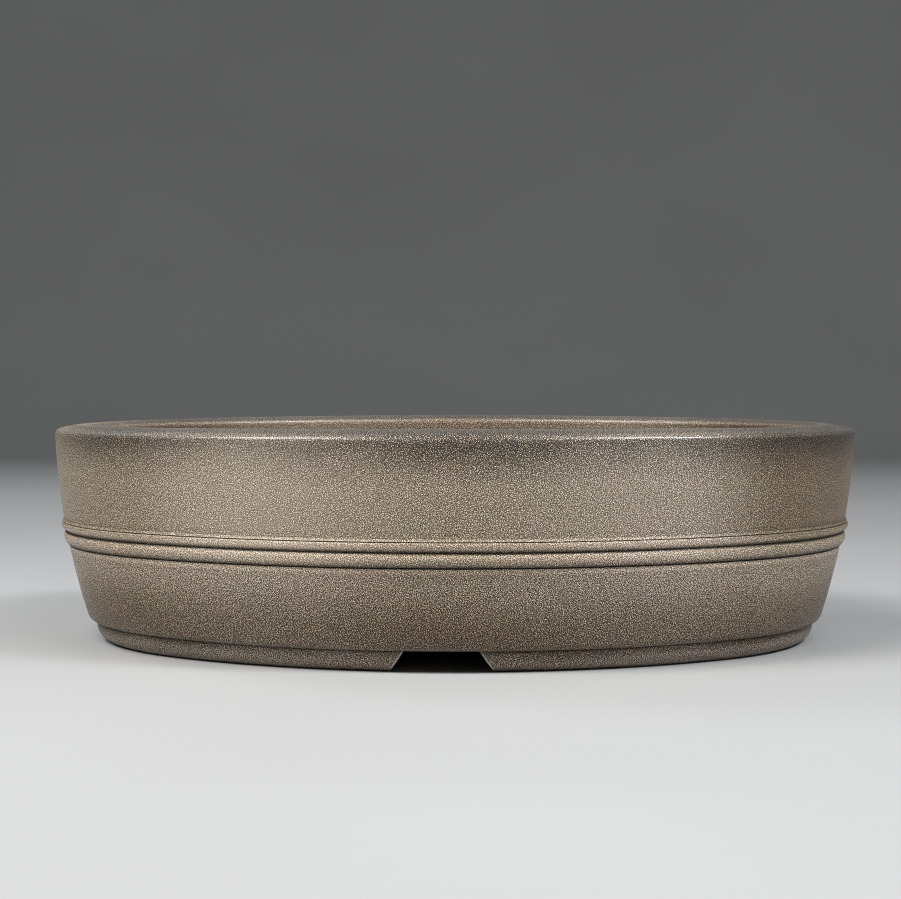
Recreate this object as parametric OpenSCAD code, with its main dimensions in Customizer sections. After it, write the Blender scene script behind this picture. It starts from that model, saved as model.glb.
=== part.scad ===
// Oval bonsai pot, slab-built in unglazed stoneware.
// A crowned lip, a band of two beads round the wall, two C-shaped feet,
// and a screened drain hole at each end of the floor.
// Millimetres. Z is up and Z = 0 is the surface that the feet stand on.
// X runs along the pot and the front faces -Y.

/* [Pot] */
// Length over the widest part, the shoulder of the lip
pot_l = 300; // [270:1:340]
// Width over the widest part
pot_w = 232; // [200:1:262]
// Height from the feet to the crest of the lip
pot_h = 81; // [72:0.5:100]
// Thickness of the side wall
wall_t = 8; // [6:0.5:11]
// Radius of the wall's curve, seen in section
wall_curve_r = 260; // [200:5:400]
// Height above the crest at which that curve would stand upright
wall_upright = 6; // [0:0.5:12]

/* [Lip] */
// Width of the lip from the shoulder to its inner edge
lip_w = 18.5; // [15:0.5:24]
// Height of the lip piece, from its seam with the wall to the crest
lip_h = 11; // [8:0.5:16]
// Distance of the crest from the shoulder
lip_crest_in = 10.3; // [7:0.1:13]
// Radius of the crowned top
lip_crown_r = 24; // [18:0.5:40]
// Rounding of the outer edge
lip_outer_r = 2.8; // [1:0.1:4]
// Rounding of the inner edge
lip_inner_r = 2; // [1:0.1:3]
// Rise of the underside from the wall to the inner edge
lip_under_rise = 4; // [2:0.5:6]

/* [Band] */
// Height of the groove between the two beads
band_z = 41.1; // [32:0.1:54]
// Open width of that groove
band_groove_w = 0.5; // [0.3:0.1:1]
// Height of the upper bead, from the groove to the upper incised line
upper_bead_h = 3.3; // [2.5:0.1:5]
// Height of the upper bead's crest above the groove
upper_crest_h = 1.9; // [1.2:0.1:2.4]
// How far the upper bead stands out from the wall
upper_proud = 1.45; // [0.8:0.05:2.5]
// Height of the flare that blends the upper band into the wall
flare_h = 2.6; // [1.5:0.1:5]
// How far the flare stands out where it meets the upper incised line
flare_proud = 1.05; // [0.6:0.05:2]
// Height of the lower bead
lower_bead_h = 5.1; // [3.5:0.1:8]
// How far the lower bead stands out from the wall
lower_proud = 1.25; // [0.8:0.05:2.5]
// Width of the two incised lines, above the upper bead and under the lower one
line_w = 0.5; // [0.3:0.1:0.8]
// Depth of the incised lines
line_depth = 0.45; // [0.2:0.05:0.6]
// Stand-out left at the edges of the bands
band_edge = 0.3; // [0.2:0.05:0.5]

/* [Floor] */
// Thickness of the floor slab
base_t = 8.5; // [6:0.5:12]
// Rounding of the slab's lower outer edge
base_edge_r = 3.2; // [1.5:0.1:5]
// Width of the coil of clay pressed into the inside corner
coil_w = 7; // [4:0.5:10]
// Height of that coil
coil_h = 8; // [4:0.5:12]
// Thickness left at the coil's edges
coil_edge = 0.3; // [0.2:0.05:0.6]
// Diameter of the two drain holes
drain_d = 30; // [22:1:36]
// Distance of each drain hole from the middle of the pot
drain_x = 66; // [50:1:76]
// Diameter of the four tie-wire holes
tie_hole_d = 5; // [3:0.5:8]
// Distance of the tie-wire holes from the middle, along the pot
tie_hole_x = 32; // [18:1:36]
// Distance of the tie-wire holes from the middle, across the pot
tie_hole_y = 52; // [30:1:60]

/* [Feet] */
// Height of the feet
foot_h = 7.5; // [6:0.5:14]
// Width of the feet, from front to back of the ring
foot_w = 12.5; // [10:0.5:18]
// Step inwards from the slab's rounded edge to the feet
foot_step = 0.3; // [0:0.1:3]
// Rounding of the feet's outer face where it runs under
foot_round_r = 5.8; // [3:0.1:6]
// Rounding of the feet's top edge under the slab
foot_top_r = 1; // [0.5:0.1:1.5]
// Width of the gap between the feet at the slab
gap_top_w = 25; // [16:0.5:50]
// How much wider the gap is at the ground, on each side
gap_flare = 5; // [1:0.1:8]
// Rounding of the feet's corners at the gap
gap_corner_r = 3; // [0.5:0.1:4]

/* [Screens and clips] */
// Distance between the strands of a drain screen
mesh_pitch = 4; // [3.5:0.1:5]
// Width of a strand
mesh_strand = 1.4; // [1:0.1:1.6]
// Thickness of a screen
screen_t = 1.2; // [0.8:0.1:2]
// Least lap of a screen over the floor round its drain hole
screen_lap = 7; // [4:0.5:9]
// Diameter of the clip wire
wire_d = 1.5; // [1:0.1:1.8]
// Inner radius of the clip's bends
wire_bend_r = 2.2; // [1.5:0.1:2.5]
// Length of the clip's tails under the floor
tail_l = 13; // [9:0.5:18]
// Reach of the clip's wings, beyond its legs
wing_reach = 7.5; // [6.8:0.1:9]
// Spread of the clip's wings, to each side
wing_spread = 8.5; // [7:0.5:12]

/* [Fits] */
// Thickness of the slip between luted curved faces
slip = 0.1; // [0.05:0.01:0.2]
// Room between a clip's wire and what it bears on
wire_clear = 0.3; // [0.2:0.05:0.5]

/* [Hidden] */

// Colours
clay = [0.50, 0.44, 0.37];
clay_foot = [0.42, 0.37, 0.31];
mesh_colour = [0.12, 0.13, 0.12];
wire_colour = [0.72, 0.72, 0.72];

// Smoothness of the round stretches
$fn = 180;
corner_steps = 6;
face_steps = 10;
short_steps = 3;

// The plan is an oval of four arcs, struck from a 3-4-5 triangle,
// so that every inner or outer line of the pot shares the same four centres.
half_l = pot_l / 2;
half_w = pot_w / 2;
plan_step = half_l - half_w;
end_x = 1.5 * plan_step;
side_y = 2 * plan_step;
end_r = half_l - end_x;
side_r = half_w + side_y;
ray_l = 2 * pot_l;
ray = ray_l * [3, 4] / 5;
ray_angle = atan2(ray.y, ray.x);

// Overlap of neighbouring arcs, far below anything that can be measured
arc_lap = 1e-7;

// Heights of the seams
base_top = foot_h + base_t;
lip_seam = pot_h - lip_h;
crown_z = pot_h - lip_crown_r;
band_top = band_z + upper_bead_h + flare_h;

// How fast the flare of the upper band falls away
flare_power = 1.6;

// Height of the tools that cut right through the pot
cut_h = 3 * pot_h;

// Centres of the lip's edge roundings, which run into the crown
shoulder_z = crown_z + leg(lip_crown_r - lip_outer_r, lip_crest_in - lip_outer_r);
inner_edge_in = lip_w - lip_inner_r;
inner_edge_z = crown_z + leg(lip_crown_r - lip_inner_r, inner_edge_in - lip_crest_in);

// The wall's curve in section
upright_z = pot_h + wall_upright;
curve_x = wall_curve_r - sag(upright_z - shoulder_z);

// The slab's rounded lower edge, which runs into the wall's curve
edge_z = foot_h + base_edge_r;
edge_reach = leg(wall_curve_r - base_edge_r, upright_z - edge_z);
edge_x = edge_reach - curve_x;
edge_angle = atan2(edge_z - upright_z, edge_reach);
edge_top_z = edge_z + base_edge_r * sin(edge_angle);

// The feet stand just inside the slab's edge
foot_x = edge_x - foot_step;

// Screens and clips
lap_r = drain_d / 2 + screen_lap;
mesh_side = ceil(lap_r / mesh_pitch) - 1;
screen_w = (2 * mesh_side + 1) * mesh_pitch + mesh_strand;
wire_r = wire_d / 2;
leg_x = mesh_pitch * floor((drain_d / 2 - wire_r - wire_clear) / mesh_pitch);
bend_r = wire_bend_r + wire_r;
clip_top = base_top + screen_t + wire_clear + wire_r;
clip_bottom = foot_h - wire_clear - wire_r;
wire_sides = 8;
bend_steps = 4;

// A plan vector mirrored from front to back
function flip_y(v) = [v.x, -v.y];

function unit(v) = v / norm(v);

// Other leg of a right triangle
function leg(hyp, side) = sqrt(hyp * hyp - side * side);

// Depth of the wall's curve, h below its upright point
function sag(h) = wall_curve_r - leg(wall_curve_r, h);

// Outer face of the wall at height z, measured outwards from the shoulder of the lip
function wall_x(z) = leg(wall_curve_r, upright_z - z) - curve_x;

// Points up or down the wall, moved outwards by a distance
function wall_face(z_from, z_to, out, steps) =
    [for (i = [0 : steps]) let (z = z_from + (z_to - z_from) * i / steps) [wall_x(z) + out, z]];

// Points of an arc
function arc(centre, r, from, to, steps) =
    [for (i = [0 : steps]) let (a = from + (to - from) * i / steps) centre + r * [cos(a), sin(a)]];

// The list without its last item
function but_last(list) = [for (i = [0 : len(list) - 2]) list[i]];

// Points round the whole plan, x outwards from the shoulder line
function plan_points(x, steps) = concat(
    but_last(arc([end_x, 0], end_r + x, -ray_angle, ray_angle, steps)),
    but_last(arc([0, -side_y], side_r + x, ray_angle, 180 - ray_angle, steps)),
    but_last(arc([-end_x, 0], end_r + x, 180 - ray_angle, 180 + ray_angle, steps)),
    but_last(arc([0, side_y], side_r + x, 180 + ray_angle, 360 - ray_angle, steps)));

// Hollow curve from p to q that leaves and arrives along the lines to the corner
function cove(p, corner, q, steps) =
    [for (i = [0 : steps]) let (t = i / steps)
        (1 - t) * (1 - t) * p + 2 * t * (1 - t) * corner + t * t * q];

// Stand-out of a bead at distance t from its crest, falling by drop at distance reach
function bead(t, proud, reach, drop) =
    let (r = (reach * reach + drop * drop) / (2 * drop)) proud - r + leg(r, t);

// One arc of the plan: a whole ring about the arc's centre, kept between two rays from there.
// The profile is drawn outwards from the shoulder line.
module plan_arc(centre, r, ray_a, ray_b) {
    tip = -arc_lap * unit(ray_a + ray_b);
    translate(centre) intersection() {
        rotate_extrude() translate([r, 0]) children();
        linear_extrude(cut_h, center = true) polygon([tip, ray_a, ray_b]);
    }
}

// Carries a profile round one half of the plan, on the +X side
module sweep_half() {
    plan_arc([0, side_y], side_r, [0, -ray_l], flip_y(ray)) children();
    plan_arc([end_x, 0], end_r, flip_y(ray), ray) children();
    plan_arc([0, -side_y], side_r, ray, [0, ray_l]) children();
}

// Carries a profile all round the plan
module sweep_oval() {
    plan_arc([end_x, 0], end_r, flip_y(ray), ray) children();
    plan_arc([0, -side_y], side_r, ray, -flip_y(ray)) children();
    plan_arc([-end_x, 0], end_r, -flip_y(ray), -ray) children();
    plan_arc([0, side_y], side_r, -ray, flip_y(ray)) children();
}

// The slab's edge is carried round the plan, and the middle is filled in
module base_slab() {
    middle_x = edge_x - base_t / 2;
    inner_x = middle_x - base_t;
    color(clay) difference() {
        union() {
            sweep_oval() polygon(concat(
                [[inner_x, base_top], [inner_x, foot_h]],
                arc([edge_x, edge_z], base_edge_r, -90, edge_angle, corner_steps),
                wall_face(edge_top_z, base_top, 0, short_steps)));
            translate([0, 0, foot_h]) linear_extrude(base_t)
                polygon(plan_points(middle_x, corner_steps));
        }
        for (sx = [-1, 1]) {
            translate([sx * drain_x, 0, 0]) cylinder(d = drain_d, h = cut_h, center = true);
            for (sy = [-1, 1])
                translate([sx * tie_hole_x, sy * tie_hole_y, 0])
                    cylinder(d = tie_hole_d, h = cut_h, center = true);
        }
    }
}

// The lower incised line is cut into the wall, right under the lower bead
module side_wall() {
    line_high = band_z - lower_bead_h;
    line_low = line_high - line_w;
    line_z = (line_low + line_high) / 2;
    color(clay) sweep_oval() polygon(concat(
        wall_face(base_top, line_low, 0, corner_steps),
        [[wall_x(line_z) - line_depth, line_z]],
        wall_face(line_high, lip_seam, 0, face_steps),
        wall_face(lip_seam, base_top, -wall_t, face_steps)));
}

module corner_coil() {
    top_z = base_top + coil_h;
    toe = [wall_x(base_top) - wall_t - slip - coil_w, base_top + coil_edge];
    corner = [wall_x(base_top) - wall_t - slip, base_top + coil_edge];
    top = [wall_x(top_z) - wall_t - slip - coil_edge, top_z];
    color(clay) sweep_oval() polygon(concat(
        [[toe.x, base_top]],
        cove(toe, corner, top, corner_steps),
        wall_face(top_z, base_top, -wall_t - slip, short_steps)));
}

module rim_lip() {
    outer_angle = atan2(shoulder_z - crown_z, lip_crest_in - lip_outer_r);
    inner_angle = atan2(inner_edge_z - crown_z, lip_crest_in - inner_edge_in);
    color(clay) sweep_oval() polygon(concat(
        [[wall_x(lip_seam) - wall_t, lip_seam]],
        wall_face(lip_seam, shoulder_z, 0, short_steps),
        arc([-lip_outer_r, shoulder_z], lip_outer_r, 0, outer_angle, corner_steps),
        arc([-lip_crest_in, crown_z], lip_crown_r, outer_angle, inner_angle, face_steps),
        arc([-inner_edge_in, inner_edge_z], lip_inner_r, inner_angle, 180, corner_steps),
        [[-lip_w, lip_seam + lip_under_rise]]));
}

module upper_band() {
    start_z = band_z + band_groove_w / 2;
    crest_z = band_z + upper_crest_h;
    line_z = band_z + upper_bead_h;
    line_low = line_z - line_w / 2;
    line_high = line_z + line_w / 2;
    reach = crest_z - start_z;
    drop = upper_proud - band_edge;
    color(clay) sweep_oval() polygon(concat(
        [for (i = [0 : face_steps])
            let (z = start_z + (line_low - start_z) * i / face_steps)
            [wall_x(z) + bead(z - crest_z, upper_proud, reach, drop), z]],
        [[wall_x(line_z) + flare_proud - line_depth, line_z]],
        [for (i = [0 : corner_steps])
            let (t = i / corner_steps)
            let (z = line_high + (band_top - line_high) * t)
            [wall_x(z) + band_edge + (flare_proud - band_edge) * pow(1 - t, flare_power), z]],
        wall_face(band_top, start_z, slip, short_steps)));
}

module lower_band() {
    top_z = band_z - band_groove_w / 2;
    bottom_z = band_z - lower_bead_h;
    crest_z = (top_z + bottom_z) / 2;
    reach = top_z - crest_z;
    drop = lower_proud - band_edge;
    color(clay) sweep_oval() polygon(concat(
        [for (i = [0 : face_steps])
            let (z = bottom_z + (top_z - bottom_z) * i / face_steps)
            [wall_x(z) + bead(z - crest_z, lower_proud, reach, drop), z]],
        wall_face(top_z, bottom_z, slip, short_steps)));
}

// The gap between the feet, seen from the front: wider at the ground, with rounded corners
module foot_gap() {
    side_angle = atan2(foot_h, -gap_flare);
    corner_x = gap_top_w / 2 + gap_flare + gap_corner_r / tan(side_angle / 2);
    over = 1;
    half = concat(
        [[corner_x, -over]],
        arc([corner_x, gap_corner_r], gap_corner_r, -90, side_angle - 270, corner_steps),
        [[gap_top_w / 2, foot_h], [gap_top_w / 2, foot_h + over]]);
    rotate([90, 0, 0]) linear_extrude(pot_w, center = true) {
        polygon(concat([[0, -over]], half, [[0, foot_h + over]]));
        mirror([1, 0]) polygon(concat([[0, -over]], half, [[0, foot_h + over]]));
    }
}

module foot(side) {
    inner_x = foot_x - foot_w;
    color(clay_foot) mirror([side < 0 ? 1 : 0, 0, 0]) difference() {
        sweep_half() polygon(concat(
            [[inner_x, foot_h], [inner_x, 0]],
            arc([foot_x - foot_round_r, foot_round_r], foot_round_r, -90, 0, corner_steps),
            arc([foot_x - foot_top_r, foot_h - foot_top_r], foot_top_r, 0, 90, corner_steps)));
        foot_gap();
    }
}

module drain_screen(side) {
    color(mesh_colour) translate([side * drain_x, 0, base_top]) linear_extrude(screen_t) difference() {
        square(screen_w, center = true);
        for (i = [-mesh_side : mesh_side], j = [-mesh_side : mesh_side])
            translate([i, j] * mesh_pitch) square(mesh_pitch - mesh_strand, center = true);
    }
}

// Arc that rounds the corner at q of a path from p to s
function bend(p, q, s, r, steps) =
    let (back = unit(p - q), on = unit(s - q))
    let (half = acos(back * on) / 2)
    let (centre = q + unit(back + on) * r / sin(half))
    let (from = unit(q + back * r / tan(half) - centre))
    [for (i = [0 : steps])
        let (a = (180 - 2 * half) * i / steps) centre + r * (from * cos(a) - back * sin(a))];

// Path through the points with every inner corner rounded
function rounded_path(pts, r, steps) = let (last = len(pts) - 1) concat(
    [pts[0]],
    [for (i = [1 : last - 1]) each bend(pts[i - 1], pts[i], pts[i + 1], r, steps)],
    [pts[last]]);

// Round wire along a path, with its rings carried on from one to the next without twist
module wire(path, r, sides) {
    last = len(path) - 1;
    tangents = [for (i = [0 : last]) unit(path[min(i + 1, last)] - path[max(i - 1, 0)])];
    normals = [for (i = 0, n = [0, 1, 0]; i <= last;
        i = i + 1, n = i > last ? n : unit(n - tangents[i] * (tangents[i] * n))) n];
    points = [for (i = [0 : last], k = [0 : sides - 1])
        let (a = 360 * (k + 0.5) / sides)
        path[i] + r * (cos(a) * normals[i] + sin(a) * cross(tangents[i], normals[i]))];
    tube = [for (i = [0 : last - 1], k = [0 : sides - 1])
        let (p = i * sides + k, q = i * sides + (k + 1) % sides)
        each [[p, p + sides, q], [q, p + sides, q + sides]]];
    caps = [for (k = [1 : sides - 2])
        each [[0, k, k + 1], [last * sides, last * sides + k + 1, last * sides + k]]];
    polyhedron(points, concat(tube, caps));
}

module screen_clip(side) {
    tail = leg_x + tail_l;
    wing = leg_x + wing_reach;
    half = [[-tail, 0, clip_bottom], [-leg_x, 0, clip_bottom], [-leg_x, 0, clip_top],
            [-wing, 0, clip_top], [-wing, wing_spread, clip_top], [-leg_x, wing_spread, clip_top]];
    other = [for (i = [len(half) - 1 : -1 : 0]) [-half[i].x, -half[i].y, half[i].z]];
    color(wire_colour) translate([side * drain_x, 0, 0])
        wire(rounded_path(concat(half, other), bend_r, bend_steps), wire_r, wire_sides);
}

base_slab();
side_wall();
corner_coil();
rim_lip();
upper_band();
lower_band();
foot(-1);  // left_foot
foot(1);  // right_foot
drain_screen(-1);  // left_drain_screen
drain_screen(1);  // right_drain_screen
screen_clip(-1);  // left_screen_clip
screen_clip(1);  // right_screen_clip
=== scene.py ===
"""Oval bonsai pot in sanded, unglazed stoneware: finished surfaces, light and camera.

Metres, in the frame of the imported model: X along the pot, the front faces -Y, Z up.
"""
import math

import bmesh
import bpy
from mathutils import Euler, Matrix, Vector


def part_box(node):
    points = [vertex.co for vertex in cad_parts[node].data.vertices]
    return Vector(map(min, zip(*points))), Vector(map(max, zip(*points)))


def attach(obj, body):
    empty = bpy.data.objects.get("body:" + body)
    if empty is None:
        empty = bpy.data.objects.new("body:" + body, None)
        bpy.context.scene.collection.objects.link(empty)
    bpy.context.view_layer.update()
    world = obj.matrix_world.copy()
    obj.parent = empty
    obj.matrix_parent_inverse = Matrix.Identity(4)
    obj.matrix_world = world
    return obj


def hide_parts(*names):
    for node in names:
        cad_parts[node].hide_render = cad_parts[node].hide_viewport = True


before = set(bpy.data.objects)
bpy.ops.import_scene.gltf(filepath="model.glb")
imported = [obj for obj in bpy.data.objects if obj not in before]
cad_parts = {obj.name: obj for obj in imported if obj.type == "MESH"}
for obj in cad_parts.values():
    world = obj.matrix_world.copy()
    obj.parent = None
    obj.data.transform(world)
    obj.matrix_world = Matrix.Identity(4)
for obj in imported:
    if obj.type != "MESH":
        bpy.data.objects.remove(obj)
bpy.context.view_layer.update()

MM = 0.001
BODY = "root"

# The plan, read from the frame: four arcs struck from a 3-4-5 triangle
RIM_LOW, RIM_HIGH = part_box("rim_lip")
HALF_L = (RIM_HIGH.x - RIM_LOW.x) / 2
HALF_W = (RIM_HIGH.y - RIM_LOW.y) / 2
PLAN_STEP = HALF_L - HALF_W
END_X = 1.5 * PLAN_STEP
SIDE_Y = 2 * PLAN_STEP
END_R = HALF_L - END_X
SIDE_R = HALF_W + SIDE_Y
JOIN_ANGLE = math.atan2(4, 3)

# Heights of the seams, read from the frame
CREST_Z = RIM_HIGH.z
LIP_SEAM_Z = RIM_LOW.z
FLOOR_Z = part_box("base_slab")[1].z
FOOT_TOP_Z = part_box("base_slab")[0].z
COIL_TOP_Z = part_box("corner_coil")[1].z
BAND_TOP_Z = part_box("upper_band")[1].z
BAND_FOOT_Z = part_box("lower_band")[0].z
BEAD_LOW_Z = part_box("upper_band")[0].z
BEAD_TOP_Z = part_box("lower_band")[1].z
GROOVE_Z = (BEAD_LOW_Z + BEAD_TOP_Z) / 2

# Wall, in section
WALL_T = 8 * MM
WALL_CURVE_R = 260 * MM
UPRIGHT_Z = CREST_Z + 6 * MM

# Lip
LIP_W = 18.5 * MM
LIP_CREST_IN = 10.3 * MM
LIP_CROWN_R = 24 * MM
LIP_OUTER_R = 2.8 * MM
LIP_INNER_R = 2 * MM
LIP_UNDER_Z = LIP_SEAM_Z + 4 * MM
LIP_UNDER_R = 0.8 * MM
CROWN_FALL = 1 * MM
FALL_POWER = 1.5

# Bands
UPPER_CREST_Z = GROOVE_Z + 1.9 * MM
LINE_Z = GROOVE_Z + 3.3 * MM
LINE_W = 0.5 * MM
LINE_DEPTH = 0.45 * MM
UPPER_PROUD = 1.45 * MM
FLARE_PROUD = 0.85 * MM
FLARE_POWER = 2.2
LOWER_PROUD = 1.25 * MM
BAND_EDGE = 0.3 * MM
BAND_SINK = 0.35 * MM

# Floor
BASE_EDGE_R = 3.2 * MM
COIL_W = 7 * MM
COIL_EDGE = 0.3 * MM
HOLE_EDGE_R = 0.9 * MM
DRAIN_R = 15 * MM
DRAIN_X = (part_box("right_drain_screen")[0].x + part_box("right_drain_screen")[1].x) / 2
TIE_R = 2.5 * MM
TIE_X = 32 * MM
TIE_Y = 52 * MM

# Feet
FOOT_W = 12.5 * MM
FOOT_STEP = 0.3 * MM
FOOT_ROUND_R = 5.8 * MM
FOOT_TOP_R = 1 * MM
FOOT_INNER_R = 1.2 * MM
GAP_HALF = 12.5 * MM
GAP_FLARE = 5 * MM
GAP_CORNER_R = 3 * MM
GAP_EDGE_R = 0.8 * MM

# Drain screens and their clips
MESH_PITCH = 4 * MM
MESH_STRAND = 1.4 * MM
MESH_CORNER_R = 0.5 * MM
MESH_SIDE = 5
WIRE_R = 0.75 * MM
WIRE_BEND_R = 2.95 * MM
CLIP_LEG_X = 12 * MM
CLIP_TAIL = 13 * MM
CLIP_WING = 7.5 * MM
CLIP_SPREAD = 8.5 * MM
CLIP_TOP_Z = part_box("right_screen_clip")[1].z - WIRE_R
CLIP_LOW_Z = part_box("right_screen_clip")[0].z + WIRE_R

# Fineness of the meshes
ARC_STEPS = 72
FACE_STEPS = 36
ROUND_STEPS = 10
CORNER_STEPS = 4
STRAND_STEPS = 8
DRAIN_STEPS = 96
TIE_STEPS = 32
WIRE_SIDES = 16
BEND_STEPS = 10
MERGE_DIST = 0.005 * MM


# Sections, as lists of (x outwards from the shoulder line, z)

def leg(hyp, side):
    """Other leg of a right triangle."""
    return math.sqrt(hyp * hyp - side * side)


CROWN_Z = CREST_Z - LIP_CROWN_R
SHOULDER_Z = CROWN_Z + leg(LIP_CROWN_R - LIP_OUTER_R, LIP_CREST_IN - LIP_OUTER_R)
CURVE_X = leg(WALL_CURVE_R, UPRIGHT_Z - SHOULDER_Z)
INNER_EDGE_IN = LIP_W - LIP_INNER_R
INNER_EDGE_Z = CROWN_Z + leg(LIP_CROWN_R - LIP_INNER_R, INNER_EDGE_IN - LIP_CREST_IN)
EDGE_Z = FOOT_TOP_Z + BASE_EDGE_R
EDGE_REACH = leg(WALL_CURVE_R - BASE_EDGE_R, UPRIGHT_Z - EDGE_Z)
EDGE_X = EDGE_REACH - CURVE_X
FOOT_X = EDGE_X - FOOT_STEP


def wall_x(z):
    """Outer face of the wall at a height."""
    return leg(WALL_CURVE_R, UPRIGHT_Z - z) - CURVE_X


def spread(a, b, steps):
    """Even values from a to b."""
    return [a + (b - a) * i / steps for i in range(steps + 1)]


def wall_face(z_from, z_to, out, steps):
    return [(wall_x(z) + out, z) for z in spread(z_from, z_to, steps)]


def arc(cx, cz, r, from_a, to_a, steps=ROUND_STEPS):
    return [(cx + r * math.cos(a), cz + r * math.sin(a)) for a in spread(from_a, to_a, steps)]


def bead(t, proud, reach, drop):
    """Stand-out of a bead at distance t from its crest."""
    r = (reach * reach + drop * drop) / (2 * drop)
    return proud - r + leg(r, t)


def lip_section():
    outer_a = math.atan2(SHOULDER_Z - CROWN_Z, LIP_CREST_IN - LIP_OUTER_R)
    inner_a = math.atan2(INNER_EDGE_Z - CROWN_Z, LIP_CREST_IN - INNER_EDGE_IN)
    under_x = -LIP_W + LIP_UNDER_R
    return (
        [(wall_x(LIP_SEAM_Z) - WALL_T, LIP_SEAM_Z)]
        + wall_face(LIP_SEAM_Z, SHOULDER_Z, 0, ROUND_STEPS)
        + arc(-LIP_OUTER_R, SHOULDER_Z, LIP_OUTER_R, 0, outer_a)[1:]
        + arc(-LIP_CREST_IN, CROWN_Z, LIP_CROWN_R, outer_a, inner_a, FACE_STEPS)[1:]
        + arc(-INNER_EDGE_IN, INNER_EDGE_Z, LIP_INNER_R, inner_a, math.pi)[1:]
        + arc(under_x, LIP_UNDER_Z + LIP_UNDER_R, LIP_UNDER_R, math.pi, 1.5 * math.pi)
    )


def wall_section():
    line_z = BAND_FOOT_Z - LINE_W / 2
    return (
        wall_face(FLOOR_Z, BAND_FOOT_Z - LINE_W, 0, FACE_STEPS)
        + [(wall_x(line_z) - LINE_DEPTH, line_z)]
        + wall_face(BAND_FOOT_Z, LIP_SEAM_Z, 0, FACE_STEPS)
        + wall_face(LIP_SEAM_Z, FLOOR_Z, -WALL_T, FACE_STEPS)
    )


def upper_band_section():
    reach = UPPER_CREST_Z - BEAD_LOW_Z
    drop = UPPER_PROUD - BAND_EDGE
    line_low, line_high = LINE_Z - LINE_W / 2, LINE_Z + LINE_W / 2
    crown = [
        (wall_x(z) + bead(z - UPPER_CREST_Z, UPPER_PROUD, reach, drop), z)
        for z in spread(BEAD_LOW_Z, line_low, FACE_STEPS)
    ]
    flare = [
        (wall_x(z) + FLARE_PROUD * ((BAND_TOP_Z - z) / (BAND_TOP_Z - line_high)) ** FLARE_POWER, z)
        for z in spread(line_high, BAND_TOP_Z, FACE_STEPS)
    ]
    line = [(wall_x(LINE_Z) + FLARE_PROUD - LINE_DEPTH, LINE_Z)]
    return crown + line + flare + wall_face(BAND_TOP_Z, BEAD_LOW_Z, -BAND_SINK, ROUND_STEPS)


def lower_band_section():
    crest = (BEAD_TOP_Z + BAND_FOOT_Z) / 2
    drop = LOWER_PROUD - BAND_EDGE
    crown = [
        (wall_x(z) + bead(z - crest, LOWER_PROUD, BEAD_TOP_Z - crest, drop), z)
        for z in spread(BAND_FOOT_Z, BEAD_TOP_Z, FACE_STEPS)
    ]
    return crown + wall_face(BEAD_TOP_Z, BAND_FOOT_Z, -BAND_SINK, ROUND_STEPS)


def coil_section():
    """Coil pressed into the corner: a cove between thin edges, sunk a little into the wall."""
    corner = (wall_x(FLOOR_Z) - WALL_T, FLOOR_Z + COIL_EDGE)
    toe = (corner[0] - COIL_W, FLOOR_Z + COIL_EDGE)
    top = (wall_x(COIL_TOP_Z) - WALL_T - COIL_EDGE, COIL_TOP_Z)
    cove = [(toe[0], FLOOR_Z)]
    for t in spread(0, 1, FACE_STEPS):
        a, b, c = (1 - t) ** 2, 2 * t * (1 - t), t * t
        cove.append(tuple(a * p + b * q + c * s for p, q, s in zip(toe, corner, top)))
    return cove + wall_face(COIL_TOP_Z, FLOOR_Z, BAND_SINK - WALL_T, ROUND_STEPS)


def foot_section():
    inner_x = FOOT_X - FOOT_W
    quarter = math.pi / 2
    return (
        [(inner_x, FOOT_TOP_Z)]
        + arc(inner_x + FOOT_INNER_R, FOOT_INNER_R, FOOT_INNER_R, math.pi, math.pi + quarter)
        + arc(FOOT_X - FOOT_ROUND_R, FOOT_ROUND_R, FOOT_ROUND_R, -quarter, 0)
        + arc(FOOT_X - FOOT_TOP_R, FOOT_TOP_Z - FOOT_TOP_R, FOOT_TOP_R, 0, quarter)
    )


# The plan as stations: centre, radius and direction of each step round the oval

PLAN_ARCS = (
    ((END_X, 0), END_R, -JOIN_ANGLE, JOIN_ANGLE),
    ((0, -SIDE_Y), SIDE_R, JOIN_ANGLE, math.pi - JOIN_ANGLE),
    ((-END_X, 0), END_R, math.pi - JOIN_ANGLE, math.pi + JOIN_ANGLE),
    ((0, SIDE_Y), SIDE_R, math.pi + JOIN_ANGLE, 2 * math.pi - JOIN_ANGLE),
)


def plan_stations():
    """Stations all round, closed on themselves."""
    stations = []
    for centre, r, from_a, to_a in PLAN_ARCS:
        stations += [(centre, r, a) for a in spread(from_a, to_a, ARC_STEPS)[:-1]]
    return stations


def place(station, x, z):
    (cx, cy), r, a = station
    return Vector((cx + (r + x) * math.cos(a), cy + (r + x) * math.sin(a), z))


# Mesh helpers

SHARP_ANGLE = math.radians(38)
GRAIN_MAP = "unrolled"
CROWN_DRAW = 0.3  # share by which grains on the crown are drawn out


def smooth_object(bm, name, material):
    """Turns a bmesh into a smooth-shaded object that faces outwards."""
    bmesh.ops.recalc_face_normals(bm, faces=bm.faces)
    mesh = bpy.data.meshes.new(name)
    bm.to_mesh(mesh)
    bm.free()
    mesh.shade_smooth()
    mesh.materials.append(material)
    made = bpy.data.objects.new(name, mesh)
    bpy.context.scene.collection.objects.link(made)
    return made


def finish_piece(bm, name, slot, material, *nodes):
    """Turns a bmesh into a piece that stands for CAD nodes."""
    piece = smooth_object(bm, name, material)
    piece.data.set_sharp_from_angle(angle=SHARP_ANGLE)
    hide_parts(*nodes)
    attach(piece, BODY)


def grain_layer(bm):
    """Place of each face corner on the unrolled surface, in metres, and how much painted highlight its
    edge takes, 0 to 1.
    """
    layers = bm.loops.layers.float_vector
    return layers.get(GRAIN_MAP) or layers.new(GRAIN_MAP)


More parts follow.
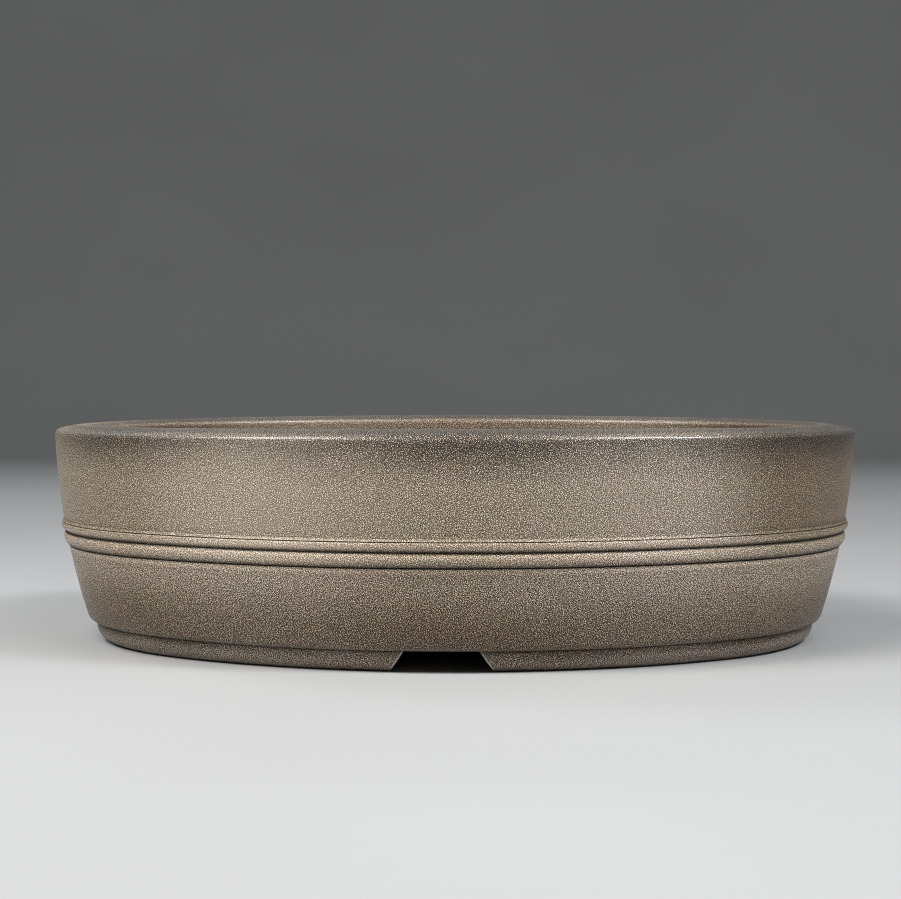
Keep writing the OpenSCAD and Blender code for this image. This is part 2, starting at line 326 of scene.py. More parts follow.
def run_lengths(verts):
    """Length along a row of vertices up to each of them, and back to the first."""
    lengths = [0.0]
    for a, b in zip(verts, verts[1:] + verts[:1]):
        lengths.append(lengths[-1] + (b.co - a.co).length)
    return lengths


def skin(bm, rows, closed_rows, closed_section, across=None):
    """Quads over a grid of vertices: rows along the plan, columns along the section."""
    n_rows, n_cols = len(rows), len(rows[0])
    layer = grain_layer(bm)
    along = run_lengths([row[0] for row in rows])
    across = across or run_lengths(rows[0])
    for i in range(n_rows if closed_rows else n_rows - 1):
        a, b = rows[i], rows[(i + 1) % n_rows]
        for j in range(n_cols if closed_section else n_cols - 1):
            k = (j + 1) % n_cols
            face = bm.faces.new((a[j], b[j], b[k], a[k]))
            corners = ((i, j), (i + 1, j), (i + 1, j + 1), (i, j + 1))
            for loop, (p, q) in zip(face.loops, corners):
                loop[layer] = (along[p], across[q], 0)


def lay_flat(bm, faces, axis, edge_highlight=0):
    """Lays faces out as seen along an axis."""
    layer = grain_layer(bm)
    for face in faces:
        for loop in face.loops:
            seen = [c for i, c in enumerate(loop.vert.co) if i != axis]
            loop[layer] = (*seen, edge_highlight)


def crown_lengths(section):
    """Lengths along a section, shortened where it lies flat, so that grains there are drawn out."""
    lengths = [0.0]
    for (x0, z0), (x1, z1) in zip(section, section[1:] + section[:1]):
        step = math.hypot(x1 - x0, z1 - z0)
        flat = abs(x1 - x0) / step
        lengths.append(lengths[-1] + step * (1 - CROWN_DRAW * flat ** 4))
    return lengths


def swept_ring(name, section, material):
    bm = bmesh.new()
    rows = [[bm.verts.new(place(s, x, z)) for x, z in section] for s in plan_stations()]
    skin(bm, rows, True, True)
    finish_piece(bm, name + "_clay", "stoneware", material, name)


def crown_fall(point):
    """Lets the crown of the lip fall towards the ends of the pot, as it does when a pot is fired."""
    share = (point.z - SHOULDER_Z) / (CREST_Z - SHOULDER_Z)
    if share > 0:
        point.z -= CROWN_FALL * share * (abs(point.x) / HALF_L) ** FALL_POWER
    return point


def rim_lip(material):
    bm = bmesh.new()
    section = lip_section()
    rows = [[bm.verts.new(crown_fall(place(s, x, z))) for x, z in section] for s in plan_stations()]
    skin(bm, rows, True, True, crown_lengths(section))
    finish_piece(bm, "rim_lip_clay", "stoneware", material, "rim_lip")


# Floor slab with drain and tie-wire holes

def hole_section(r):
    """Section of a hole from the top face to the underside, with softened edges."""
    e, quarter = HOLE_EDGE_R, math.pi / 2
    top = arc(r + e, FLOOR_Z - e, e, quarter, 2 * quarter)
    low = arc(r + e, FOOT_TOP_Z + e, e, 2 * quarter, 3 * quarter)
    return top + low


def loop_edges(bm, ring):
    n = len(ring)
    return [bm.edges.get((ring[i], ring[(i + 1) % n])) for i in range(n)]


def drilled_hole(bm, cx, cy, r, steps):
    section = hole_section(r)
    rows = []
    for i in range(steps):
        a = 2 * math.pi * i / steps
        rows.append([
            bm.verts.new((cx + d * math.cos(a), cy + d * math.sin(a), z)) for d, z in section])
    skin(bm, rows, True, False)
    return [row[0] for row in rows], [row[-1] for row in rows]


def base_slab(material):
    bm = bmesh.new()
    edge_a = math.atan2(EDGE_Z - UPRIGHT_Z, EDGE_REACH)
    edge = arc(EDGE_X, EDGE_Z, BASE_EDGE_R, -math.pi / 2, edge_a)
    section = edge + wall_face(edge[-1][1], FLOOR_Z, 0, ROUND_STEPS)[1:]
    rows = [[bm.verts.new(place(s, x, z)) for x, z in section] for s in plan_stations()]
    skin(bm, rows, True, False)
    low_loops = [[row[0] for row in rows]]
    top_loops = [[row[-1] for row in rows]]
    holes = [(sx * DRAIN_X, 0, DRAIN_R, DRAIN_STEPS) for sx in (-1, 1)]
    holes += [(sx * TIE_X, sy * TIE_Y, TIE_R, TIE_STEPS) for sx in (-1, 1) for sy in (-1, 1)]
    for hole in holes:
        top, low = drilled_hole(bm, *hole)
        top_loops.append(top)
        low_loops.append(low)
    for loops in (top_loops, low_loops):
        edges = [e for loop in loops for e in loop_edges(bm, loop)]
        filled = bmesh.ops.triangle_fill(bm, use_beauty=True, edges=edges)
        lay_flat(bm, [g for g in filled["geom"] if isinstance(g, bmesh.types.BMFace)], 2)
    finish_piece(bm, "base_slab_clay", "stoneware", material, "base_slab")


# Feet

def gap_x(z):
    """Half-width of the gap between the feet at a height."""
    side_a = math.atan2(FOOT_TOP_Z, -GAP_FLARE)
    corner_x = GAP_HALF + GAP_FLARE + GAP_CORNER_R / math.tan(side_a / 2)
    if z < GAP_CORNER_R * (1 + math.cos(side_a)):
        return corner_x - leg(GAP_CORNER_R, GAP_CORNER_R - z)
    return GAP_HALF + GAP_FLARE * (1 - z / FOOT_TOP_Z)


def foot(name, side, material):
    bm = bmesh.new()
    section = foot_section()
    middle = plan_stations()[:ARC_STEPS + 1]
    cut_a = [math.asin(gap_x(z) / (SIDE_R + x)) for x, z in section]
    join_a = math.pi / 2 - JOIN_ANGLE
    front, back = [], []
    for t in spread(0, 1, ARC_STEPS)[:-1]:
        row = []
        for (x, z), a in zip(section, cut_a):
            turn = a + (join_a - a) * t
            row.append((((0, SIDE_Y), SIDE_R, turn - math.pi / 2), x, z))
        front.append(row)
        back.append([(((0, -SIDE_Y), SIDE_R, -s[2]), x, z) for s, x, z in row])
    rows = front + [[(s, x, z) for x, z in section] for s in middle] + back[::-1]
    flip = Vector((side, 1, 1))
    grid = [[bm.verts.new(place(*p) * flip) for p in row] for row in rows]
    skin(bm, grid, False, True)
    lay_flat(bm, [bm.faces.new(row) for row in (grid[0], grid[-1])], 0)
    rims = [e for row in (grid[0], grid[-1]) for e in loop_edges(bm, row)]
    rounded = bmesh.ops.bevel(
        bm, geom=rims, offset=GAP_EDGE_R, segments=CORNER_STEPS, profile=0.5, affect="EDGES",
        clamp_overlap=True)
    # the rounded edges of the gap take a painted highlight
    lay_flat(bm, rounded["faces"], 0, edge_highlight=1)
    finish_piece(bm, name + "_clay", "stoneware", material, name)


# Drain screens: a moulded net of rounded strands

def net_ring(half, corner_r, stops=()):
    """Points of a square with rounded corners and with stops along its sides."""
    middle = half - corner_r
    side = arc(middle, middle, corner_r, 0, math.pi / 2, CORNER_STEPS)
    side += [(-t, half) for t in stops]
    points = []
    for _ in range(4):
        points += side
        side = [(-y, x) for x, y in side]
    return points


def drain_screen(name, material):
    low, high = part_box(name)
    cx, cy = (low.x + high.x) / 2, (low.y + high.y) / 2
    mid_z, half_t = (low.z + high.z) / 2, (high.z - low.z) / 2
    half_strand = MESH_STRAND / 2
    reach = (MESH_SIDE + 0.5) * MESH_PITCH
    stops = [k * MESH_PITCH - reach for k in range(1, 2 * MESH_SIDE + 1)]
    bm = bmesh.new()

    def sleeve(x0, y0, ring_at):
        """Side of the strands round a ring, from their top to their underside."""
        rows = []
        for a in spread(math.pi / 2, -math.pi / 2, STRAND_STEPS):
            z = mid_z + half_t * math.sin(a)
            rows.append([bm.verts.new((x0 + x, y0 + y, z)) for x, y in ring_at(math.cos(a))])
        skin(bm, rows, False, True)

    for i in range(-MESH_SIDE, MESH_SIDE + 1):
        for j in range(-MESH_SIDE, MESH_SIDE + 1):
            sleeve(cx + i * MESH_PITCH, cy + j * MESH_PITCH,
                   lambda out: net_ring(MESH_PITCH / 2 - half_strand * out, MESH_CORNER_R * out))
    sleeve(cx, cy, lambda out: net_ring(reach + half_strand * out, half_strand * out, stops))
    bmesh.ops.remove_doubles(bm, verts=bm.verts, dist=MERGE_DIST)
    finish_piece(bm, name + "_net", "screen_plastic", material, name)


# Clips: one bent length of round wire each

def rounded_path(points, r):
    path = [points[0]]
    for p, q, s in zip(points, points[1:], points[2:]):
        back, on = (p - q).normalized(), (s - q).normalized()
        half = back.angle(on) / 2
        centre = q + (back + on).normalized() * (r / math.sin(half))
        start = (q + back * (r / math.tan(half)) - centre).normalized()
        for a in spread(0, math.pi - 2 * half, BEND_STEPS):
            path.append(centre + r * (start * math.cos(a) - back * math.sin(a)))
    return path + [points[-1]]


def clip_route(cx):
    tail, wing = CLIP_LEG_X + CLIP_TAIL, CLIP_LEG_X + CLIP_WING
    half = [
        (-tail, 0, CLIP_LOW_Z), (-CLIP_LEG_X, 0, CLIP_LOW_Z), (-CLIP_LEG_X, 0, CLIP_TOP_Z),
        (-wing, 0, CLIP_TOP_Z), (-wing, CLIP_SPREAD, CLIP_TOP_Z),
        (-CLIP_LEG_X, CLIP_SPREAD, CLIP_TOP_Z),
    ]
    whole = half + [(-x, -y, z) for x, y, z in reversed(half)]
    return [Vector((cx + x, y, z)) for x, y, z in whole]


def screen_clip(name, material):
    low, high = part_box(name)
    path = rounded_path(clip_route((low.x + high.x) / 2), WIRE_BEND_R)
    bm = bmesh.new()
    last = len(path) - 1
    normal = Vector((0, 1, 0))
    rows = []
    for i, p in enumerate(path):
        along = (path[min(i + 1, last)] - path[max(i - 1, 0)]).normalized()
        normal = (normal - along * along.dot(normal)).normalized()
        side = along.cross(normal)
        rows.append([
            bm.verts.new(p + WIRE_R * (math.cos(a) * normal + math.sin(a) * side))
            for a in spread(0, 2 * math.pi, WIRE_SIDES)[:-1]])
    skin(bm, rows, False, True)
    for row in (rows[0], rows[-1]):
        bm.faces.new(row)
    finish_piece(bm, name + "_wire", "clip_wire", material, name)


# Materials

class Surface:
    """Nodes of one material, worked out in object space."""

    def __init__(self, name):
        self.material = bpy.data.materials.new(name)
        self.material.use_nodes = True
        self.nodes = self.material.node_tree.nodes
        self.links = self.material.node_tree.links
        self.shader = self.nodes["Principled BSDF"]
        self.coords = self.nodes.new("ShaderNodeTexCoord").outputs["Object"]

    def unrolled(self):
        """Place on the unrolled surface, with the painted edge highlight as its third value."""
        node = self.nodes.new("ShaderNodeAttribute")
        node.attribute_name = GRAIN_MAP
        return node.outputs["Vector"]

    def normal(self):
        return self.nodes.new("ShaderNodeNewGeometry").outputs["Normal"]

    def axes(self, vector):
        node = self.nodes.new("ShaderNodeSeparateXYZ")
        self.feed(node.inputs[0], vector)
        return node.outputs

    def feed(self, socket, value):
        """Sets a socket to a number or a colour, or links it to another socket."""
        if isinstance(value, (int, float)):
            socket.default_value = value
        elif isinstance(value, tuple):
            socket.default_value = (*value, 1)
        else:
            self.links.new(value, socket)

    def give(self, name, value):
        self.feed(self.shader.inputs[name], value)

    def math(self, operation, a, b=0.0):
        node = self.nodes.new("ShaderNodeMath")
        node.operation = operation
        self.feed(node.inputs[0], a)
        self.feed(node.inputs[1], b)
        return node.outputs[0]

    def times(self, *values):
        """Product of values."""
        product = values[0]
        for value in values[1:]:
            product = self.math("MULTIPLY", product, value)
        return product

    def less(self, value, share=1.0):
        """What is left of 1 without a share of a value."""
        return self.math("SUBTRACT", 1.0, self.times(value, share))

    def ramp(self, value, *stops):
        """Colour ramp from (position, grey or colour) stops."""
        node = self.nodes.new("ShaderNodeValToRGB")
        elements = node.color_ramp.elements
        while len(elements) < len(stops):
            elements.new(0.5)
        for element, (position, colour) in zip(elements, stops):
            element.position = position
            element.color = (*colour, 1) if isinstance(colour, tuple) else (colour, colour, colour, 1)
        self.feed(node.inputs["Fac"], value)
        return node.outputs["Color"]

    def rise(self, value, low, high):
        """0 below low, 1 above high, and smooth between."""
        node = self.nodes.new("ShaderNodeMapRange")
        node.interpolation_type = "SMOOTHSTEP"
        self.feed(node.inputs["Value"], value)
        node.inputs["From Min"].default_value = low
        node.inputs["From Max"].default_value = high
        return node.outputs["Result"]

    def mix(self, blend, factor, a, b, clamp=False):
        node = self.nodes.new("ShaderNodeMix")
        node.data_type = "RGBA"
        node.blend_type = blend
        node.clamp_result = clamp
        for socket, value in zip((node.inputs[0], node.inputs[6], node.inputs[7]), (factor, a, b)):
            self.feed(socket, value)
        return node.outputs[2]

    def tinted(self, colour, tint, share=1.0):
        """A colour multiplied by a tint, wholly or in part."""
        return self.mix("MULTIPLY", share, colour, tint)

    def noise(self, size, detail=3.0, roughness=0.5):
        """Soft noise with features of about a size."""
        node = self.nodes.new("ShaderNodeTexNoise")
        for name, value in (("Scale", 1 / size), ("Detail", detail), ("Roughness", roughness)):
            node.inputs[name].default_value = value
        self.feed(node.inputs["Vector"], self.coords)
        return node.outputs["Fac"]

    def grains(self, size, jitter):
        """Distance from the middle of the nearest grain, in grain sizes."""
        cells = self.nodes.new("ShaderNodeTexVoronoi")
        cells.voronoi_dimensions = "2D"
        cells.inputs["Scale"].default_value = 1 / size
        cells.inputs["Randomness"].default_value = jitter
        self.feed(cells.inputs["Vector"], self.unrolled())
        return cells.outputs["Distance"]

    def relief(self, height, strength, depth):
        bump = self.nodes.new("ShaderNodeBump")
        bump.inputs["Strength"].default_value = strength
        bump.inputs["Distance"].default_value = depth
        self.feed(bump.inputs["Height"], height)
        self.give("Normal", bump.outputs[0])


# Stoneware: sizes of the sand and of the drift in tone
PALE_GRAIN = 0.455 * MM
DARK_GRAIN = 0.42 * MM
GRAIN_JITTER = 0.95
GRIT_DEPTH = 0.05 * MM
DRIFT_SIZE = 38 * MM
DRIFT_SHARE = 0.16
MOTTLE_SIZE = 22 * MM

# Where its tone and its painted light change along the pot
PATCH_MIDDLE = 5.5 * MM
# painted pools of light on the sides, either way from the middle
LIT_PATCH_X, LIT_PATCH_REACH = 65.5 * MM, 36 * MM
POLISH_X, POLISH_REACH = 66 * MM, 36 * MM
INNER_POLISH_X = 60 * MM, 100 * MM
# painted shade at the ends of the pot, stronger at the right
END_SHADE_RIGHT = 80 * MM, 118 * MM
END_SHADE_LEFT = 84 * MM, 112 * MM
# painted rim light at the left end, where the darkening round the lip is thinned
LEFT_RIM_LIGHT_X = 120 * MM, 147 * MM
RIGHT_SIDE = -20 * MM, 30 * MM
CREST_GLINT_X = 35 * MM, 80 * MM

# Where it changes over the height, in metres or as shares of the pot's height
END_SHADE_Z = BAND_FOOT_Z - 8 * MM, BAND_TOP_Z
SHOULDER_HIGHLIGHT_RISE = 0.955, 0.963
CROWN_RISE = 0.966, 0.986
EVEN_RISE = 0.35, 0.55
CREST_SLOPE = 0.9955, 0.9985
LIP_DARK_RISE = (0.77, 0.0), (0.86, 0.47), (0.93, 0.95)
POLISHED_EDGE = (0.94, 0.0), (0.955, 1.0), (0.970, 1.0), (0.983, 0.0)

# How much of one thing another takes away; pairs run from the left side to the right
PATCHES_OFF_CROWN = 0.8
END_SHADE_OFF_CROWN = 0.6
# how much the painted pools of light lift the darkening round the lip
LIT_PATCHES_OFF_LIP_DARK = (0.0, 0.38), (1.0, 0.20)
SHOULDER_HIGHLIGHT_OFF_LIP_DARK = 0.35
LEFT_RIM_LIGHT_OFF_LIP_DARK = 0.45
LEFT_END_SHADE = 0.43
LEAST_CREST_GLINT = 0.35
EVEN_PATCHES = (0.0, 0.24), (1.0, 0.06)
EVEN_WALL = 0.17
EVEN_CROWN = 0.4

# Colours, and what multiplies them
# darker towards the feet, with a band of painted shade from 0.055 to 0.20 over the tops of the feet and
# the lower edge of the slab
BODY_TONES = (
    (0.00, (0.200, 0.157, 0.120)),
    (0.055, (0.200, 0.157, 0.120)),
    (0.09, (0.135, 0.104, 0.078)),
    (0.12, (0.112, 0.084, 0.062)),
    (0.20, (0.128, 0.096, 0.068)),
    (0.28, (0.186, 0.140, 0.099)),
    (0.36, (0.275, 0.211, 0.152)),
    (0.55, (0.310, 0.246, 0.180)),
    (1.00, (0.300, 0.242, 0.184)),
)
# lighter and whiter on the painted pools of light
LIT_PATCH_TONES = (0.0, (0.895, 0.850, 0.792)), (1.0, (1.18, 1.165, 1.17))
MOTTLE_TONES = (0.36, (0.98, 1.0, 0.975)), (0.64, (1.02, 0.99, 1.0))
# tint of the painted shade at the ends
END_SHADE = 0.47, 0.445, 0.41
LIP_DARK_TONE = 0.125, 0.140, 0.175
# painted shade inside the pot, deepest just under the lip, with a painted highlight on the rounded inner
# edge of the lip
INSIDE_SHADE_AND_HIGHLIGHT = (
    (0.5, (0.58, 0.57, 0.56)),
    (0.90, (0.47, 0.46, 0.45)),
    (0.955, (0.50, 0.49, 0.48)),
    (0.969, (0.90, 0.89, 0.88)),
    (0.978, (0.58, 0.57, 0.56)),
)
CROWN_TONES = (0.0, 1.0), (1.0, (0.79, 0.815, 0.84))
# painted glint along the crest of the lip
CREST_GLINT_TONES = (0.0, 1.0), (1.0, 1.55)
# painted highlight on the rounded edges of the gap between the feet
EDGE_HIGHLIGHT_CLAY = 0.42, 0.39, 0.35

# Painted light and shade on the clay at heights in mm from the three creases of the band: painted shade
# in the creases, painted highlights on the crests and just below the lowest crease
BAND_LIGHT_AND_SHADE = (
    (BAND_FOOT_Z, (
        (-2.8, 1.0), (-2.2, 1.35), (-1.5, 1.95), (-0.8, 1.6), (-0.25, 0.03), (0.4, 0.43), (1.1, 1.22),
        (1.7, 1.52))),
    (GROOVE_Z, (
        (-2.05, 1.42), (-1.4, 1.65), (-0.9, 1.5), (-0.55, 0.4), (-0.2, 0.17), (0.25, 0.4),
        (0.6, 0.75), (1.25, 1.9), (1.9, 1.55))),
    (LINE_Z, (
        (-0.75, 1.05), (-0.25, 1.1), (0, 0.33), (0.25, 0.95), (1.05, 0.88), (1.3, 0.33), (1.55, 0.76),
        (2.0, 0.76), (3.2, 0.98))),
)

# Sand: tones and roughness by distance from the middle of a grain, in grain sizes
PALE_TONES = (0.12, (7.2, 7.3, 7.4)), (0.22, 2.3), (0.32, (0.75, 0.745, 0.74))
DARK_TONES = (0.21, 0.0), (0.31, (0.10, 0.09, 0.08)), (0.43, 1.32)
LIP_DARK_BY_GRAIN = (0.12, 0.6), (0.32, 1.0)
ROUGH_GRAINS = (0.20, 0.9), (0.36, 0.46)
ROUGH_CROWN = 0.9
ROUGH_POLISH = 0.15


class Stoneware(Surface):
    """Sanded, unglazed clay, toned and given painted light and shade by where it lies on the pot."""

    def __init__(self):
        super().__init__("sanded_stoneware")
        self.x, _, self.z = self.axes(self.coords)
        self.height = self.math("DIVIDE", self.z, CREST_Z)
        drift = self.math("SUBTRACT", self.noise(DRIFT_SIZE, 4, 0.55), 0.5)
        self.level = self.math("ADD", self.height, self.times(drift, DRIFT_SHARE))
        self.crown = self.rise(self.height, *CROWN_RISE)
        self.right_side = self.rise(self.x, *RIGHT_SIDE)
        # painted pools of light on the sides, less on the crown
        self.lit_patches = self.times(
            self.patches(LIT_PATCH_X, LIT_PATCH_REACH), self.less(self.crown, PATCHES_OFF_CROWN))
        self.outside = self.faces_out()
        self.inside = self.less(self.outside)
        self.pale_off = self.grains(PALE_GRAIN, GRAIN_JITTER)
        self.dark_off = self.grains(DARK_GRAIN, GRAIN_JITTER)

    def patches(self, middle, reach):
        """1 at a distance either way along the pot, falling softly to 0 away from there."""
        along = self.math("ABSOLUTE", self.math("SUBTRACT", self.x, PATCH_MIDDLE))
        t = self.math("DIVIDE", self.math("SUBTRACT", along, middle), reach)
        return self.math("EXPONENT", self.times(t, t, -1.0))

    def faces_out(self):
        """1 on the outer faces of the pot, 0 on the inner ones."""
        node = self.nodes.new("ShaderNodeVectorMath")
        node.operation = "DOT_PRODUCT"
        self.feed(node.inputs[0], self.normal())
        self.feed(node.inputs[1], self.coords)
        return self.math("GREATER_THAN", node.outputs["Value"], 0.0)

    def left_rise(self, low, high):
        """0 up to a distance left of the middle, 1 past another."""
        return self.rise(self.times(self.x, -1.0), low, high)

    def band_light_and_shade(self):
        """Painted light and shade over the height of the band: painted shade in its creases, painted
        highlights on its crests.
        """
        stops = [(crease + mm * MM, tone) for crease, tones in BAND_LIGHT_AND_SHADE for mm, tone in tones]
        low, high = stops[0][0], stops[-1][0]
        t = self.math("DIVIDE", self.math("SUBTRACT", self.z, low), high - low)
        return self.ramp(t, *(((at - low) / (high - low), tone) for at, tone in stops))

    def painted_end_shade(self):
        """Painted shade: 1 on the upper wall at the right end of the pot, less at the left end, 0
        elsewhere.
        """
        right = self.rise(self.x, *END_SHADE_RIGHT)
        ends = self.math("ADD", right, self.times(self.left_rise(*END_SHADE_LEFT), LEFT_END_SHADE))
        return self.times(ends, self.rise(self.z, *END_SHADE_Z), self.less(self.crown, END_SHADE_OFF_CROWN))

    def lip_darkening(self):
        """How much darker the outside is round the lip: less on the painted pools of light, less under a
        painted highlight on the right shoulder, and less at the left end, where a painted rim light lies.
        """
        # painted highlight on the right shoulder, where the darkening round the lip is thinned
        shoulder = self.times(self.rise(self.height, *SHOULDER_HIGHLIGHT_RISE), self.right_side, SHOULDER_HIGHLIGHT_OFF_LIP_DARK)
        thinned = self.math("ADD", self.ramp(self.right_side, *LIT_PATCHES_OFF_LIP_DARK), shoulder)
        return self.times(
            self.ramp(self.level, *LIP_DARK_RISE),
            self.less(self.lit_patches, thinned),
            self.less(self.left_rise(*LEFT_RIM_LIGHT_X), LEFT_RIM_LIGHT_OFF_LIP_DARK),
            self.outside,
            self.ramp(self.pale_off, *LIP_DARK_BY_GRAIN))

    def crest_glint(self):
        """1 along the very top of the lip, where a glint is painted, least in the middle of the sides."""
        flat = self.rise(self.axes(self.normal())[2], *CREST_SLOPE)
        along = self.rise(self.math("ABSOLUTE", self.x), *CREST_GLINT_X)
        share = self.math("ADD", self.times(along, 1 - LEAST_CREST_GLINT), LEAST_CREST_GLINT)
        return self.times(flat, self.crown, share)

    def tones_and_painted_light(self):
        """Brown towards the feet and darker round the lip, with painted pools of light on the sides,
        painted shade over the feet, at the ends, in the band's creases and inside, and painted highlights
        on the band, the inner edge and the crest of the lip.
        """
        colour = self.ramp(self.level, *BODY_TONES)
        colour = self.tinted(colour, self.ramp(self.lit_patches, *LIT_PATCH_TONES))
        colour = self.tinted(colour, self.ramp(self.noise(MOTTLE_SIZE, 2), *MOTTLE_TONES))
        colour = self.tinted(colour, END_SHADE, self.painted_end_shade())
        colour = self.tinted(colour, LIP_DARK_TONE, self.lip_darkening())
        # painted shade and painted highlights on the band
        colour = self.tinted(colour, self.band_light_and_shade(), self.outside)
        colour = self.tinted(colour, self.ramp(self.height, *INSIDE_SHADE_AND_HIGHLIGHT), self.inside)
        colour = self.tinted(colour, self.ramp(self.crown, *CROWN_TONES))
        return self.tinted(colour, self.ramp(self.crest_glint(), *CREST_GLINT_TONES))

    def sand(self):
        """Pale and dark grains, made more even as a painted sheen on the upper wall and most on the
        painted pools of light, and more even on the crown.
        """
        grains = self.tinted(self.ramp(self.pale_off, *PALE_TONES), self.ramp(self.dark_off, *DARK_TONES))
        # painted sheen: grains more even where light falls on the upper wall
        even = self.times(self.lit_patches, self.ramp(self.right_side, *EVEN_PATCHES))
        even = self.times(self.math("ADD", even, EVEN_WALL), self.rise(self.level, *EVEN_RISE))
        even = self.math("MAXIMUM", even, self.times(self.crown, EVEN_CROWN))
        return self.mix("MIX", even, grains, (1.0, 1.0, 1.0))

    def polish(self):
        """1 where the shoulder and the inner edge of the lip are polished, most near the painted pools of
        light on the sides.
        """
        edge = self.ramp(self.height, *POLISHED_EDGE)
        middle = self.less(self.rise(self.math("ABSOLUTE", self.x), *INNER_POLISH_X))
        outer = self.patches(POLISH_X, POLISH_REACH)
        return self.times(edge, self.math("MAXIMUM", outer, self.times(self.inside, middle)))


def stoneware():
    clay = Stoneware()
    colour = clay.mix("MULTIPLY", 1.0, clay.tones_and_painted_light(), clay.sand(), clamp=True)
    edge_highlight = clay.axes(clay.unrolled())[2]
    clay.give("Base Color", clay.mix("MIX", edge_highlight, colour, EDGE_HIGHLIGHT_CLAY))
    polish = clay.polish()
    rough = clay.ramp(clay.dark_off, *ROUGH_GRAINS)
    rough = clay.mix("MIX", clay.crown, rough, (ROUGH_CROWN,) * 3)
    clay.give("Roughness", clay.mix("MIX", polish, rough, (ROUGH_POLISH,) * 3))
    clay.give("Specular IOR Level", 0.35)
    clay.give("Sheen Weight", 0.06)
    clay.give("Sheen Roughness", 0.3)
    clay.give("Sheen Tint", (0.85, 0.9, 1.0))
    grit = clay.math("SUBTRACT", clay.dark_off, clay.pale_off)
    clay.relief(clay.times(grit, clay.less(polish, 0.8)), 0.3, GRIT_DEPTH)
    return clay.material


def screen_plastic():
    surface = Surface("screen_plastic")
    mottle = surface.noise(2.4 * MM, 3, 0.6)
    surface.give("Base Color", surface.ramp(
        mottle, (0.3, (0.010, 0.013, 0.011)), (0.7, (0.028, 0.034, 0.029))))
    surface.give("Roughness", surface.math("ADD", surface.times(mottle, 0.3), 0.3))
    surface.relief(mottle, 0.2, 0.05 * MM)
    return surface.material


def clip_wire():
    surface = Surface("clip_wire")
    scratch = surface.noise(1.1 * MM, 4, 0.65)
    surface.give("Base Color", surface.ramp(
        scratch, (0.3, (0.46, 0.46, 0.47)), (0.7, (0.68, 0.68, 0.68))))
    surface.give("Roughness", surface.math("ADD", surface.times(scratch, 0.35), 0.2))
    surface.give("Metallic", 1.0)
    surface.relief(scratch, 0.25, 0.03 * MM)
    return surface.material


# Studio

WARM_LIGHT = (1, 0.97, 0.93)
COOL_LIGHT = (0.86, 0.93, 1)
FLOOR_MIDDLE_R = 0.2
FLOOR_R = 1.6
COVE_R = 0.9
SURROUND_TOP = 2.4
FLOOR_MOTTLE = 0.33
COVE_STEPS = 24
STUDIO_STEPS = 96


def studio_floor():
    """Pale floor that curves up into a seamless surround."""
    surface = Surface("studio_floor")
    surface.give("Base Color", surface.ramp(
        surface.noise(FLOOR_MOTTLE, 2), (0.3, (0.35, 0.345, 0.34)), (0.7, (0.38, 0.375, 0.37))))
    surface.give("Roughness", 0.75)
    section = [(FLOOR_MIDDLE_R, 0), (FLOOR_R, 0)]
    section += arc(FLOOR_R, COVE_R, COVE_R, -math.pi / 2, 0, COVE_STEPS)[1:]
    section += [(FLOOR_R + COVE_R, SURROUND_TOP)]
    bm = bmesh.new()
    rows = []
    for i in range(STUDIO_STEPS):
        a = 2 * math.pi * i / STUDIO_STEPS
        rows.append([bm.verts.new((r * math.cos(a), r * math.sin(a), z)) for r, z in section])
    skin(bm, rows, True, False)
    bm.faces.new([row[0] for row in rows])
    floor = smooth_object(bm, "studio_floor", surface.material)


def softbox(name, place_at, aim, size, watts, colour, along=(1, 0, 0)):
    """Area light of length and width, with its length as near along a direction as its aim allows."""
    light = bpy.data.lights.new(name, "AREA")
    light.shape = "RECTANGLE"
    light.size, light.size_y = size
    light.energy = watts
    light.color = colour
    lamp = bpy.data.objects.new(name, light)
    lamp.location = place_at
    back = (Vector(place_at) - Vector(aim)).normalized()
    side = (Vector(along) - back * back.dot(Vector(along))).normalized()
    lamp.rotation_euler = Matrix((side, back.cross(side), back)).transposed().to_euler()
    bpy.context.scene.collection.objects.link(lamp)


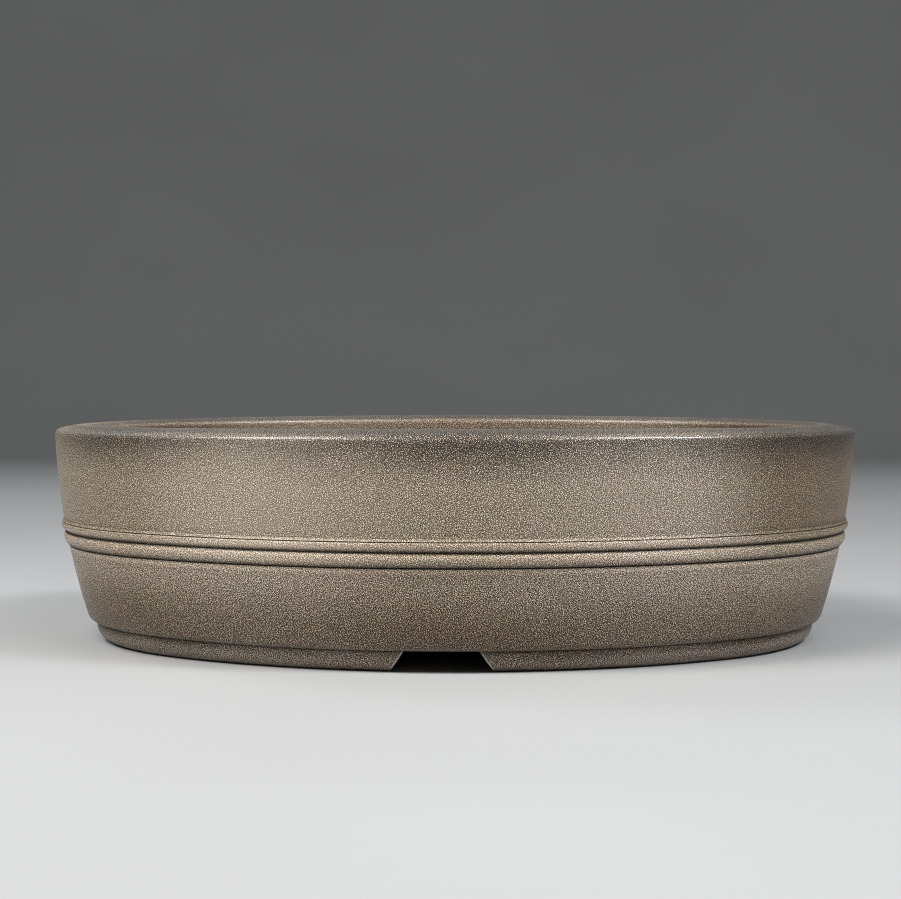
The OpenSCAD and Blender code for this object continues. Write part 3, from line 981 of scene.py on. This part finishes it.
def studio_lights():
    softbox("key_left", (-0.46, -0.50, 0.84), (-0.05, -0.05, 0.05), (0.60, 0.44), 8.9, WARM_LIGHT)
    softbox("key_right", (0.38, -0.54, 0.84), (0.05, -0.05, 0.05), (0.56, 0.44), 3.85, WARM_LIGHT)
    softbox("strip_left", (-0.73, -0.43, 0.88), (-0.06, -0.1, 0.08), (0.62, 0.12), 5.5, COOL_LIGHT,
            along=(0.78, -0.41, 0.48))
    softbox("strip_right", (0.76, -0.42, 0.88), (0.07, -0.1, 0.08), (0.46, 0.10), 9.8, COOL_LIGHT,
            along=(-0.78, -0.41, 0.48))
    softbox("back", (0, 1.15, 0.66), (0, 0, 0.07), (1.2, 0.16), 1.6, COOL_LIGHT)
    softbox("rim_left", (-0.85, 0.45, 0.85), (-0.1, 0, 0.06), (0.25, 0.4), 3.5, COOL_LIGHT)
    softbox("rim_right", (0.9, 0.5, 0.55), (0.1, 0, 0.06), (0.2, 0.4), 0.9, COOL_LIGHT)
    world = bpy.data.worlds.new("soft_world")
    world.use_nodes = True
    background = world.node_tree.nodes["Background"]
    background.inputs["Color"].default_value = (0.93, 0.96, 1.0, 1)
    background.inputs["Strength"].default_value = 0.15
    bpy.context.scene.world = world


# Camera at the photograph's angle

CAMERA_AT = (0.0292, -0.7370, 0.0992)
CAMERA_YAW = math.radians(2.354)
CAMERA_PITCH = math.radians(2.258)
CAMERA_ROLL = math.radians(0.052)
LENS_MM = 77.5
SENSOR_MM = 36


def photo_camera():
    data = bpy.data.cameras.new("camera")
    data.sensor_width = SENSOR_MM
    data.lens = LENS_MM
    camera = bpy.data.objects.new("camera", data)
    camera.location = CAMERA_AT
    camera.rotation_euler = Euler((math.pi / 2 - CAMERA_PITCH, CAMERA_ROLL, CAMERA_YAW), "XYZ")
    bpy.context.scene.collection.objects.link(camera)
    bpy.context.scene.camera = camera


def build():
    photo_camera()
    clay = stoneware()
    swept_ring("side_wall", wall_section(), clay)
    rim_lip(clay)
    swept_ring("upper_band", upper_band_section(), clay)
    swept_ring("lower_band", lower_band_section(), clay)
    swept_ring("corner_coil", coil_section(), clay)
    base_slab(clay)
    foot("left_foot", -1, clay)
    foot("right_foot", 1, clay)
    plastic, wire = screen_plastic(), clip_wire()
    for hand in ("left", "right"):
        drain_screen(hand + "_drain_screen", plastic)
        screen_clip(hand + "_screen_clip", wire)
    studio_floor()
    studio_lights()
    scene = bpy.context.scene
    scene.view_settings.view_transform = "Standard"
    scene.cycles.denoising_prefilter = "NONE"
    scene.cycles.filter_width = 1.0


build()
